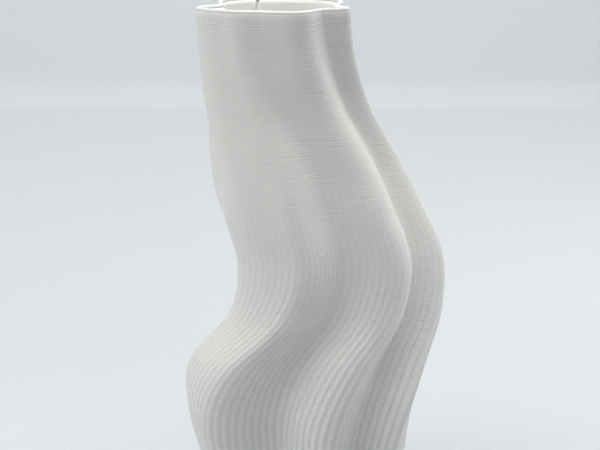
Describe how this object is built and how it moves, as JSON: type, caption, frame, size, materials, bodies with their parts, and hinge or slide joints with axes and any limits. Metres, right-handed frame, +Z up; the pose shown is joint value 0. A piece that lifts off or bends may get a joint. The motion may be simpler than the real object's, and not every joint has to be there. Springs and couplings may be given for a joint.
{
  "type": "vase",
  "caption": "Tall open vase with soft twisting lobes, fine vertical ribs and stacked print layers, a smooth rounded rim and a flat closed foot",
  "frame": {"origin": "centre of the foot's outline on the flat underside, where the mount underside is", "axes": "+Z up from the foot to the mouth, +X to the right seen from the front, front towards -Y"},
  "size_m": [0.1304, 0.1081, 0.25],
  "materials": {
    "ribbed_clay": "matt unglazed white, printed in fine stacked layers with vertical ribs",
    "floor_clay": "matt unglazed white, flat printed layers",
    "rim_clay": "satin white, smoothed round bead"
  },
  "bodies": {
    "root": {"vase_wall": "ribbed_clay", "vase_floor": "floor_clay", "rim_bead": "rim_clay"}
  },
  "joints": []
}
